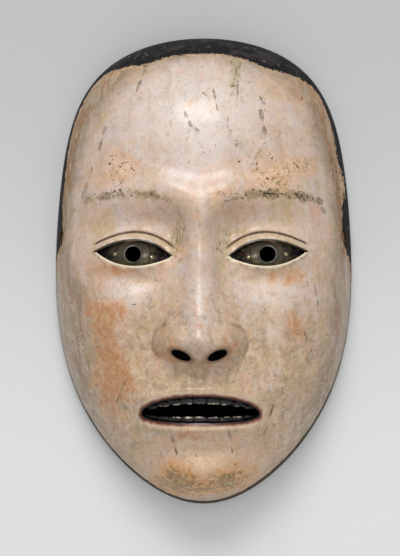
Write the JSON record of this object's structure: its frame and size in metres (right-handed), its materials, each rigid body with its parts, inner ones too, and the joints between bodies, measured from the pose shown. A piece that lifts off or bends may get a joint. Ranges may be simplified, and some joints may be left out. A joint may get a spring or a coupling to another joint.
{
  "type": "noh mask",
  "caption": "Carved wooden theatre mask with painted face, metal-lined eyes, open mouth, blackened teeth, black hair band and temple cord holes.",
  "frame": {"origin": "middle of the rim's outline on the plane that the rim rests on, mask lying face up", "axes": "+Z out of the face, +Y from chin to crown, +X to the viewer's right as seen from the front"},
  "size_m": [0.1308, 0.2056, 0.0671],
  "materials": {
    "cypress_wood": "carved cypress, dark burnished inside",
    "gofun_paint": "pale ground-shell paint, half matte, worn",
    "black_paint": "black ink over ground-shell, worn edges",
    "eye_metal": "tarnished sheet copper alloy",
    "ring_metal": "grey tarnished tube with a polished rim",
    "pin_metal": "small pinkish nail heads",
    "blackened_wood": "black lacquered teeth"
  },
  "bodies": {
    "root": {"wood_shell": "cypress_wood", "face_coat": "gofun_paint", "crown_band": "black_paint", "left_eye_plate": "eye_metal", "right_eye_plate": "eye_metal", "left_pupil_ring": "ring_metal", "right_pupil_ring": "ring_metal", "left_eye_pin_inner": "pin_metal", "left_eye_pin_outer": "pin_metal", "right_eye_pin_inner": "pin_metal", "right_eye_pin_outer": "pin_metal", "upper_teeth": "blackened_wood", "lower_teeth": "blackened_wood"}
  },
  "joints": []
}
